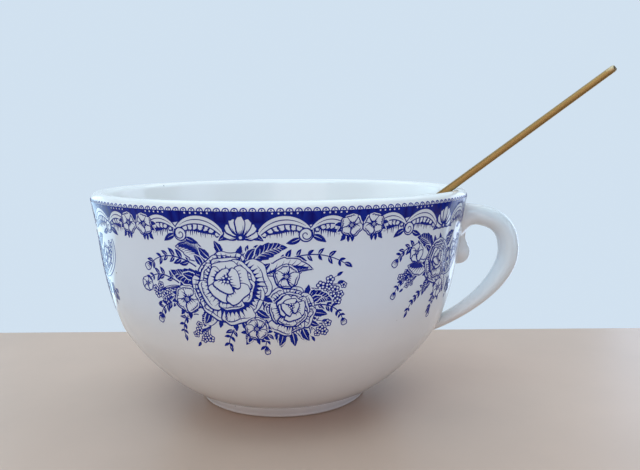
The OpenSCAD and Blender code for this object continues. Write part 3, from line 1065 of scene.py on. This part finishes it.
def ink_sheet(art, cell=2.5):
    """Flat triangles of what stays inked, small enough to bend round the cup"""
    points, lines = [], []
    for shape, _ in art.shapes:
        first = len(points)
        points += shape
        lines += [(first + i, first + (i + 1) % len(shape)) for i in range(len(shape))]
    spots, faces = triangulated(points, lines)
    on = inked(art, spots[faces].mean(axis=1))
    # Lines with ink on one side only are the edges of the ink
    sides = np.sort(np.vstack((faces[:, :2], faces[:, 1:], faces[:, ::2])), axis=1)
    lines, which = np.unique(sides, axis=0, return_inverse=True)
    edges = lines[np.bincount(which.ravel(), np.tile(on, 3)) == 1]
    used, edges = np.unique(edges, return_inverse=True)
    corners = spots[used]
    across = np.arange(corners.real.min() + cell / 2, corners.real.max(), cell)
    upward = np.arange(corners.imag.min() + cell / 2, corners.imag.max(), cell)
    grid = [complex(x, y) for x in across for y in upward]
    spots, faces = triangulated([*corners, *grid], edges.reshape(-1, 2).tolist())
    faces = faces[inked(art, spots[faces].mean(axis=1))]
    used, faces = np.unique(faces, return_inverse=True)
    return spots[used], faces.reshape(-1, 3)


def mark_depth(mesh):
    """Marks the outline of the ink with 0 and its inside with 1"""
    sides = np.empty(len(mesh.loops), int)
    mesh.loops.foreach_get("edge_index", sides)
    ends = np.empty(len(mesh.edges) * 2, int)
    mesh.edges.foreach_get("vertices", ends)
    outline = np.bincount(sides, minlength=len(mesh.edges)) == 1
    depth = np.ones(len(mesh.vertices))
    depth[ends.reshape(-1, 2)[outline].ravel()] = 0.0
    mesh.attributes.new("ink_depth", "FLOAT", "POINT").data.foreach_set("value", depth)


def printed_piece(name, art, form, turns, height):
    """Wraps a drawing round the cup at each turn, as a thin layer just over the glaze"""
    spots, faces = ink_sheet(art)
    z = spots.imag * MM
    out, up = form.outer_normal(z)
    radius = form.outer_r(z) + out * height
    places, corners = [], []
    for turn in turns:
        corners.append(faces + len(spots) * len(places))
        around = turn + spots.real / PRINT_R
        x, y = radius * np.cos(around), radius * np.sin(around)
        places.append(np.column_stack((x, y, z + up * height)))
    start_piece()
    mesh = bpy.data.meshes.new(name)
    mesh.from_pydata(np.vstack(places).tolist(), [], np.vstack(corners).tolist())
    piece = bpy.data.objects.new(name, mesh)
    bpy.context.collection.objects.link(piece)
    clean_mesh(piece, close=False)
    mark_depth(mesh)
    apply_modifier(piece, "SOLIDIFY", thickness=height * 1.5, offset=-1.0)
    smooth(piece)
    mesh.normals_split_custom_set_from_vertices(form.normals(places_of(mesh)).tolist())
    return piece


# Steps that build the scene


class CupOperator:
    """What the operators share"""

    bl_options = {"REGISTER", "UNDO"}

    @property
    def cup(self):
        return bpy.context.scene.cup_sizes

    @property
    def form(self):
        return CupForm(self.cup)

    @property
    def look(self):
        return bpy.context.scene.cup_finishes


class BREAKFASTCUP_OT_bowl(CupOperator, bpy.types.Operator):
    """Spins the bowl from its drawn outline"""

    bl_idname = "breakfast_cup.bowl"
    bl_label = "Bowl"

    def execute(self, context):
        cup, form = self.cup, self.form
        knots = [
            knot((0, cup.foot_h + cup.dish_depth)),
            knot((form.dish_r, cup.foot_h)),
            knot(form.low[0], None, form.low[1]),
            knot(form.low[3], form.low[2], form.high[1]),
        ]
        turns = [form.lip_start + (form.lip_end - form.lip_start) * i / 2 for i in range(3)]
        pull = arc_pull(form.lip_r, turns[1] - turns[0])
        for i, turn in enumerate(turns):
            point = form.on_lip(turn)
            along = direction(turn + RIGHT_ANGLE) * pull
            before = form.high[2] if i == 0 else point - along
            after = form.inner_high[2] if i == 2 else point + along
            knots.append(knot(point, before, after))
        knots.append(knot(form.inner_low[3], form.inner_high[1], form.inner_low[2]))
        knots.append(knot(form.inner_low[0], form.inner_low[1]))
        bowl = spun_piece("bowl_piece", knots, SPIN_STEPS, 20)
        # The glaze has painted light inside the bowl and painted blue light on its printed wall
        glaze = white_glaze(self.look, heart=(0, 0, cup.height / 2))
        finish_piece(bowl, "cup", "white_glaze", glaze, "bowl")
        return {"FINISHED"}


class BREAKFASTCUP_OT_foot_ring(CupOperator, bpy.types.Operator):
    """Spins the foot ring, with soft edges and a bare clay underside"""

    bl_idname = "breakfast_cup.foot_ring"
    bl_label = "Foot ring"
    # Reach up into the bowl, run of the side to the groove, and the ledge in the groove
    SUNK = Vector((0, 0.3 * MM))
    RUN = Vector((0.2 * MM, 1.2 * MM))
    LEDGE = Vector((0.6 * MM, 0))

    def execute(self, context):
        cup, form = self.cup, self.form
        edge = cup.foot_edge
        inner, outer = form.dish_r, cup.foot_d / 2
        pull = arc_pull(edge, RIGHT_ANGLE)
        top = form.low[0]
        knots = [
            knot(Vector((inner, cup.foot_h)) + self.SUNK),
            knot((inner, edge), None, (inner, edge - pull)),
            knot((inner + edge, 0), (inner + edge - pull, 0)),
            knot((outer - edge, 0), None, (outer - edge + pull, 0)),
            knot((outer, edge), (outer, edge - pull), (outer, edge + pull)),
            knot(top, top - self.RUN, top + self.SUNK),
            knot(top - self.LEDGE + self.SUNK),
        ]
        ring = spun_piece("foot_ring_piece", knots + knots[:1], SPIN_STEPS, 10)
        glaze = white_glaze(self.look, "foot_glaze", bare_below=edge)
        finish_piece(ring, "cup", "white_glaze", glaze, "foot_ring")
        return {"FINISHED"}


class BREAKFASTCUP_OT_handle(CupOperator, bpy.types.Operator):
    """Sweeps the loop handle, adds its spur and blends both into the wall"""

    bl_idname = "breakfast_cup.handle"
    bl_label = "Handle"
    # How deep the loop's ends are in the wall
    SINK = 3 * MM
    # How far the loop's curves run on straight at their ends, as shares of what they span
    TOP_PULL, SIDE_PULL, FALL_PULL, END_PULL = 0.64, 0.85, 0.34, 0.58
    # Where along its two curves the loop begins to thin and to narrow, and over how much of them
    THIN_FROM, THIN_OVER = 1.05, 0.87
    NARROW_FROM, NARROW_OVER = 0.3, 1.5
    # The spur's neck above its lobe, the pulls of its curve there, and how far it stands out
    NECK_RISE, NECK_BELOW, NECK_ABOVE, SPUR_OUT = 1.2 * MM, 1.6 * MM, 2 * MM, 0.25 * MM
    LOBE_PULL = 0.9
    # Patch of wall to blend into: depths of its faces, its foot, what its height lacks, its turn
    PATCH_OUTER, PATCH_INNER = 0.1 * MM, 2.6 * MM
    PATCH_FOOT, PATCH_SHORT = 10 * MM, 11 * MM
    PATCH_TURN = math.radians(44)
    TRIM_DEPTH, BLEND_REACH = 0.05 * MM, 0.5 * MM
    # The painted cool light on the handle starts so far inside the rim's radius
    COOL_INSET = 3 * MM

    def execute(self, context):
        cup, form = self.cup, self.form
        size = context.scene.cup_handle
        top_z = cup.height - size.drop - size.depth / 2
        spur_z = cup.height - size.drop - size.spur_drop
        loop = self.loop(form, size, top_z)
        spur = self.spur(form, size, top_z, spur_z)
        handle = join(loop, spur, self.wall(form))
        handle.data.remesh_voxel_size = size.grain
        pick(handle)
        bpy.ops.object.voxel_remesh()
        apply_modifier(handle, "SMOOTH", factor=0.5, iterations=26)
        self.trim_to_wall(handle, form)
        smooth(handle)
        self.blend_normals(handle, form)
        # Painted cool light on the handle's loop
        cool_from = cup.rim_d / 2 - self.COOL_INSET
        glaze = white_glaze(self.look, "handle_glaze", cool_from=cool_from)
        finish_piece(handle, "cup", "white_glaze", glaze, "handle", "upper_slip", "lower_slip")
        return {"FINISHED"}

    def loop(self, form, size, top_z):
        """Sweeps the loop from under the lip down to its lower joint"""
        side_z = top_z - size.round_r
        side = Vector((float(form.outer_r(side_z)) + size.gap + size.depth / 2, side_z))
        start = Vector((float(form.outer_r(top_z)) - self.SINK, top_z))
        end_r = float(form.outer_r(size.low_z)) - self.SINK / 2
        end = Vector((end_r, size.low_z - self.SINK / 4))
        fall = side_z - size.low_z
        leave = Vector(((side.x - start.x) * self.TOP_PULL, 0))
        upper = curve(start, leave, Vector((0, -size.round_r * self.SIDE_PULL)), side)
        arrive = direction(size.low_slope) * -fall * self.END_PULL
        lower = curve(side, Vector((0, -fall * self.FALL_PULL)), arrive, end)

        def place(ring, turn):
            u = 2 * ring
            line, t = (upper, u) if u < 1 else (lower, u - 1)
            middle, way = cubic(line, t), cubic_way(line, t)
            outward = Vector((-way.y, way.x))
            thinned = float(eased((u - self.THIN_FROM) / self.THIN_OVER))
            narrowed = float(eased((u - self.NARROW_FROM) / self.NARROW_OVER))
            depth = size.depth + (size.low_depth - size.depth) * thinned
            wide = size.wide + (size.low_wide - size.wide) * narrowed
            away = (middle.x - start.x - self.SINK) / size.flare_reach
            flare = size.flare * max(0.0, 1 - away) ** 2 if u < 1 else 0.0
            middle = middle - outward * flare / 2
            spot = middle + outward * (depth + flare) / 2 * math.cos(math.tau * turn)
            return spot.x, (wide / 2 + flare / 6) * math.sin(math.tau * turn), spot.y

        return rolled_piece("handle_piece", 90, 40, place)

    def spur(self, form, size, top_z, spur_z):
        """Turns the round spur and leans it along the wall under the loop"""
        rise = top_z - spur_z
        radius = size.spur_r
        pull = arc_pull(radius, RIGHT_ANGLE)
        neck = Vector((size.spur_neck, radius + self.NECK_RISE))
        knots = [
            knot((0, -radius), None, (pull, -radius)),
            knot((radius, 0), (radius, -pull), (radius, pull * self.LOBE_PULL)),
            knot(neck, neck - Vector((0, self.NECK_BELOW)), neck + Vector((0, self.NECK_ABOVE))),
            knot((size.spur_neck + MM, rise)),
            knot((0, rise)),
        ]
        spur = spun_piece("spur", knots, 40, 12)
        lean = math.atan2(float(form.outer_r(top_z) - form.outer_r(spur_z)), rise)
        spur.rotation_euler = (0, lean, 0)
        spur.location = (float(form.outer_r(spur_z)) + self.SPUR_OUT, 0, spur_z)
        pick(spur)
        bpy.ops.object.transform_apply(location=True, rotation=True, scale=True)
        return spur

    def wall(self, form):
        """Rolls a patch of the cup's wall for the loop and the spur to blend into"""

        def place(ring, across):
            depth = self.PATCH_OUTER if ring < 0.5 else self.PATCH_INNER
            step = 2 * min(ring, 1 - ring)
            z = self.PATCH_FOOT + (form.lip_z - self.PATCH_SHORT) * step
            out, up = form.outer_normal(z)
            radius = float(form.outer_r(z) - out * depth)
            turn = (across - 0.5) * self.PATCH_TURN
            return radius * math.cos(turn), radius * math.sin(turn), z - float(up) * depth

        return rolled_piece("wall_patch", 161, 60, place)

    def trim_to_wall(self, handle, form):
        """Drops what lies under the wall's surface and closes the two joints there"""
        pick(handle)
        bpy.ops.object.mode_set(mode="EDIT")
        bpy.ops.mesh.select_mode(type="VERT")
        bpy.ops.mesh.select_all(action="DESELECT")
        bpy.ops.object.mode_set(mode="OBJECT")
        under = form.outside(places_of(handle.data)) < -self.TRIM_DEPTH
        handle.data.vertices.foreach_set("select", under)
        bpy.ops.object.mode_set(mode="EDIT")
        bpy.ops.mesh.delete(type="VERT")
        clean_mesh(handle)

    def blend_normals(self, handle, form):
        """Lets the shading run on from the wall into the handle"""
        places = places_of(handle.data)
        own = np.empty(places.size)
        handle.data.vertex_normals.foreach_get("vector", own)
        far = eased(form.outside(places) / self.BLEND_REACH)[:, None]
        normals = form.normals(places) * (1 - far) + own.reshape(-1, 3) * far
        normals /= np.linalg.norm(normals, axis=1)[:, None]
        handle.data.normals_split_custom_set_from_vertices(normals.tolist())


class BREAKFASTCUP_OT_border_print(CupOperator, bpy.types.Operator):
    """Wraps the printed border round the cup under the lip"""

    bl_idname = "breakfast_cup.border_print"
    bl_label = "Border print"

    def execute(self, context):
        turns = [-RIGHT_ANGLE + math.tau * k / BORDER_COPIES for k in range(BORDER_COPIES)]
        border = printed_piece("border_print", border_unit(), self.form, turns, self.cup.ink_t)
        finish_piece(border, "cup", "blue_print", blue_print(self.look), "border_transfer")
        return {"FINISHED"}


class BREAKFASTCUP_OT_spray_prints(CupOperator, bpy.types.Operator):
    """Wraps a tall and a short spray on the cup and copies them round it"""

    bl_idname = "breakfast_cup.spray_prints"
    bl_label = "Spray prints"

    def execute(self, context):
        material = blue_print(self.look)
        for art, (first, *others) in ((tall_spray(), (2, 5)), (short_spray(), (1, 3, 4, 6))):
            turns = [math.radians(SPRAY_STEP * (0.5 - first))]
            name = f"spray_print_{first}"
            spray = printed_piece(name, art, self.form, turns, self.cup.ink_t)
            finish_piece(spray, "cup", "blue_print", material, f"spray_transfer_{first}")
            for number in others:
                pick(spray)
                bpy.ops.object.duplicate()
                copy = context.object
                copy.name = copy.data.name = f"spray_print_{number}"
                copy.rotation_euler = (0, 0, math.radians(SPRAY_STEP * (first - number)))
                bpy.ops.object.transform_apply(location=False, rotation=True, scale=False)
                finish_piece(copy, "cup", "blue_print", material, f"spray_transfer_{number}")
        return {"FINISHED"}


class BREAKFASTCUP_OT_spoon(CupOperator, bpy.types.Operator):
    """Lofts the spoon from the end of its handle to the tip of its bowl"""

    bl_idname = "breakfast_cup.spoon"
    bl_label = "Spoon"
    # Share of the rings in the handle, how they crowd to its end, and how square its section is
    SPLIT, CROWD, SQUARE = 0.62, 1.6, 0.4
    # Rounding of the handle's end, and how much of it the thickness has
    END_ROUND, END_THIN = MM, 0.4
    # The bowl's broader tip, how fast the neck runs out into it, its least half width,
    # the power of its hollow and how sharp its edge is
    EGG, NECK_RUN, TIP_HALF, HOLLOW, EDGE = 0.1, 9, 0.4 * MM, 2.4, 3

    def execute(self, context):
        form = self.form
        size = context.scene.cup_spoon
        handle_l = size.total - size.bowl_l
        half_l, half_w = size.bowl_l / 2, size.bowl_w / 2
        lift = direction(size.tilt + RIGHT_ANGLE)
        rest = form.lip_mid + lift * (form.lip_r + size.clear)
        heel = rest - direction(size.tilt) * size.sunk

        def upright(along, across, height, steep):
            place = heel + direction(steep) * along + direction(steep + RIGHT_ANGLE) * height
            spot = Vector((place.x, across, 0))
            spot.rotate(Matrix.Rotation(size.turn, 3, "Z"))
            return spot.x, spot.y, place.y

        def squared(value):
            return math.copysign(abs(value) ** self.SQUARE, value)

        def handle_section(share, cosine, sine):
            along = handle_l * (1 - share**self.CROWD)
            go = along / handle_l
            wide = (size.neck_w + (size.end_w - size.neck_w) * go) / 2
            thick = (size.neck_t + (size.end_t - size.neck_t) * go) / 2
            end = min(1.0, (handle_l - along) / self.END_ROUND)
            cut = self.END_ROUND * (1 - math.sqrt(max(0.0, 1 - (1 - end) ** 2)))
            across = (wide - cut) * squared(cosine)
            height = thick + (thick - cut * self.END_THIN) * squared(sine)
            return upright(along, across, height, size.tilt)

        def bowl_section(share, cosine, sine):
            x = -1 + 2 * share
            along = -half_l * (1 + x)
            egg = 1 + self.EGG * x
            wide = half_w * math.sqrt(max(0.0, 1 - x * x)) * egg
            neck = size.neck_w / 2 * max(0.0, 1 - share * self.NECK_RUN)
            across = max(wide, neck, self.TIP_HALF) * cosine
            spread = min(1.0, math.hypot(x, across / (half_w * egg)))
            bottom = -size.bowl_h * (1 - spread**self.HOLLOW)
            inside = min(1.0, abs(sine) * self.EDGE)
            rim = 0.5 * size.bowl_t
            level = size.neck_t / 2 + bottom + (size.bowl_t if sine > 0 else 0.0) * inside
            level += rim * (1 - inside) - rim * 0.5
            return upright(along, across, level, size.tilt - size.bend)

        def section(ring, turn):
            """Ring 0 is the end of the handle, ring 1 the tip of the bowl"""
            round_point = math.cos(math.tau * turn), math.sin(math.tau * turn)
            if ring <= self.SPLIT:
                return handle_section(ring / self.SPLIT, *round_point)
            return bowl_section((ring - self.SPLIT) / (1 - self.SPLIT), *round_point)

        spoon = rolled_piece("spoon_piece", 200, 32, section)
        end_height = max(vertex.co.z for vertex in spoon.data.vertices)
        metal = brushed_gold(self.look, size.tilt, size.turn, end_height)
        finish_piece(spoon, "spoon", "gold_metal", metal, "spoon")
        return {"FINISHED"}


def strip_light(number, power):
    """One of the upright strips that light the left of the cup, side by side round it"""
    around = direction(math.radians(139.0 + 14.7 * number))
    name = f"left_panel_{number + 1}"
    return name, (*around, -0.05), (0, 0, 0), 0.257, 0.9, power, (0.5, 0.8, 1.0)


# Name, place and target in metres, width, height, watts and tint of each lamp
LAMPS = (
    ("top_light", (0.0, 0.2, 1.0), (0, 0, 0.04), 1.4, 1.4, 5.6, (0.92, 0.97, 1.0)),
    ("front_light", (-0.1, -0.55, 0.95), (0, 0, 0.06), 0.8, 0.8, 5.9, (0.5, 0.8, 1.0)),
    ("low_light", (-0.1, -1.1, 0.42), (0, 0, 0.05), 0.9, 0.9, 4.0, (1.0, 0.92, 0.95)),
    ("left_light", (-1.0, -0.15, 0.35), (-0.03, 0, 0.03), 0.6, 0.6, 1.3, (0.8, 0.9, 1.0)),
    *(strip_light(number, power) for number, power in enumerate((1.25, 0.95, 0.6, 0.35))),
    ("right_panel", (0.606, 0.795, -0.05), (0, 0, 0), 0.5, 0.9, 2.0, (0.6, 0.75, 1.0)),
    ("right_light", (1.0, -0.2, 0.25), (0.03, 0, 0.05), 0.6, 0.6, 1.7, (0.6, 0.72, 1.0)),
)


class BREAKFASTCUP_OT_stage(CupOperator, bpy.types.Operator):
    """Sets up the table top, the pale backdrop, the soft light and the camera"""

    bl_idname = "breakfast_cup.stage"
    bl_label = "Stage"
    # The table's back and front from the middle of the cup, half width, thickness and turn
    BACK, FRONT, HALF, THICK, TABLE_TURN = 0.076, -0.7, 0.9, 0.03, math.radians(6.7)
    # Way to the middle of the pale wall, and the cosines between which the dim room takes over
    WALL_WAY, ROOM_FROM, WALL_FROM, ROOM_DIM = (-0.296, 0.955, 0), 0.32, 0.42, 0.94
    # The soft light grows between two shares of the way to the back, to this strength
    SKY_FROM, SKY_FULL, SKY_STRENGTH = -0.7, 0.5, 0.68
    # The camera's lens and sensor in millimetres, its place before it is turned round the cup,
    # and its turns
    LENS, SENSOR, STAND = 37.08, 36.0, (0, -0.237, 0.08788)
    ROUND, SWING, DIP, ROLL = 10, 3.3137, 0.1314, 0.00737

    def execute(self, context):
        self.table_top()
        self.backdrop(context)
        for row in LAMPS:
            self.lamp(*row)
        self.camera(context)
        return {"FINISHED"}

    def table_top(self):
        start_piece()
        bpy.ops.mesh.primitive_cube_add(size=1)
        table = bpy.context.object
        table.name = "table_top"
        heading = Matrix.Rotation(self.TABLE_TURN, 4, "Z")
        for vertex in table.data.vertices:
            x, y, z = vertex.co
            y = self.BACK if y > 0 else self.FRONT
            z = 0 if z > 0 else -self.THICK
            vertex.co = heading @ Vector((self.HALF * 2 * x, y, z))
        apply_modifier(table, "BEVEL", width=0.0015, segments=4)
        smooth(table)
        finish = Finish("pale_table")
        tone = finish.range(finish.noise(14, 5.0, 0.6), 0.35, 0.7)
        floor = Vector(self.look.floor)
        finish.set(
            Base_Color=finish.mix(tone, floor * 0.96, floor * 1.04),
            Normal=finish.bump(finish.noise(700, 4.0), distance=0.0001, strength=0.15),
            Roughness=0.38,
        )
        table.data.materials.append(finish.material)

    def backdrop(self, context):
        """Pale wall to look at, a dim room before it, and soft light that comes from behind"""
        world = bpy.data.worlds.new("pale_backdrop")
        context.scene.world = world
        world.use_nodes = True
        nodes = Nodes(world.node_tree)
        way = nodes.node("ShaderNodeTexCoord").outputs["Generated"]
        path = nodes.node("ShaderNodeLightPath").outputs
        ahead = nodes.vectors("DOT_PRODUCT", way, self.WALL_WAY)
        room = nodes.range(ahead, self.ROOM_FROM, self.WALL_FROM, self.ROOM_DIM, 0.0, True)
        dim = nodes.math("MULTIPLY", path["Is Glossy Ray"], room)
        shown = nodes.tree.nodes["Background"]
        nodes.give(shown.inputs["Color"], self.look.backdrop)
        nodes.give(shown.inputs["Strength"], nodes.math("SUBTRACT", 1.0, dim))
        back = nodes.part(way, "Y")
        level = nodes.range(back, self.SKY_FROM, self.SKY_FULL, 0.0, self.SKY_STRENGTH, True)
        light = nodes.node("ShaderNodeBackground", self.look.sky, level)
        seen = nodes.math("MAXIMUM", path["Is Camera Ray"], path["Is Transmission Ray"])
        seen = nodes.math("MAXIMUM", seen, path["Is Glossy Ray"])
        mix = nodes.node("ShaderNodeMixShader", seen, light.outputs[0], shown.outputs[0])
        nodes.give(nodes.tree.nodes["World Output"].inputs["Surface"], mix.outputs[0])

    def lamp(self, name, place, target, wide, tall, power, tint):
        start_piece()
        bpy.ops.object.light_add(type="AREA", location=place)
        lamp = bpy.context.object
        lamp.name = name
        lamp.data.shape = "RECTANGLE"
        lamp.data.size, lamp.data.size_y = wide, tall
        lamp.data.energy = power
        lamp.data.color = tint
        lamp.visible_camera = False
        lamp.rotation_euler = (Vector(target) - Vector(place)).to_track_quat("-Z", "Y").to_euler()

    def camera(self, context):
        start_piece()
        bpy.ops.object.camera_add()
        camera = bpy.context.object
        camera.name = "photo_camera"
        camera.data.lens = self.LENS
        camera.data.sensor_width = self.SENSOR
        stand = Matrix.Rotation(math.radians(self.ROUND), 4, "Z") @ Vector(self.STAND)
        heading = Matrix.Rotation(math.radians(self.ROUND - self.SWING), 4, "Z")
        dip = Matrix.Rotation(RIGHT_ANGLE - self.DIP, 4, "X")
        roll = Matrix.Rotation(-self.ROLL, 4, "Z")
        camera.matrix_world = Matrix.Translation(stand) @ heading @ dip @ roll
        context.scene.camera = camera
        context.scene.view_settings.view_transform = "Standard"


class BREAKFASTCUP_PT_panel(bpy.types.Panel):
    """Lists the steps that build the cup"""

    bl_label = "Breakfast Cup"
    bl_idname = "BREAKFASTCUP_PT_panel"
    bl_space_type = "VIEW_3D"
    bl_region_type = "UI"
    bl_category = "Cup"

    def draw(self, context):
        for step in STEPS:
            self.layout.operator(step.bl_idname, text=step.bl_label)


STEPS = (
    BREAKFASTCUP_OT_bowl,
    BREAKFASTCUP_OT_foot_ring,
    BREAKFASTCUP_OT_handle,
    BREAKFASTCUP_OT_border_print,
    BREAKFASTCUP_OT_spray_prints,
    BREAKFASTCUP_OT_spoon,
    BREAKFASTCUP_OT_stage,
)
GROUPS = {
    "cup_sizes": CupSizes,
    "cup_handle": HandleSizes,
    "cup_spoon": SpoonSizes,
    "cup_finishes": Finishes,
}


def register():
    for group in GROUPS.values():
        bpy.utils.register_class(group)
    for name, group in GROUPS.items():
        setattr(bpy.types.Scene, name, bpy.props.PointerProperty(type=group))
    for step in (*STEPS, BREAKFASTCUP_PT_panel):
        bpy.utils.register_class(step)


def unregister():
    for step in (BREAKFASTCUP_PT_panel, *reversed(STEPS)):
        bpy.utils.unregister_class(step)
    for name in GROUPS:
        delattr(bpy.types.Scene, name)
    for group in reversed(GROUPS.values()):
        bpy.utils.unregister_class(group)


def main():
    register()
    for step in STEPS:
        getattr(bpy.ops.breakfast_cup, step.bl_idname.split(".")[1])()


if __name__ == "__main__":
    main()
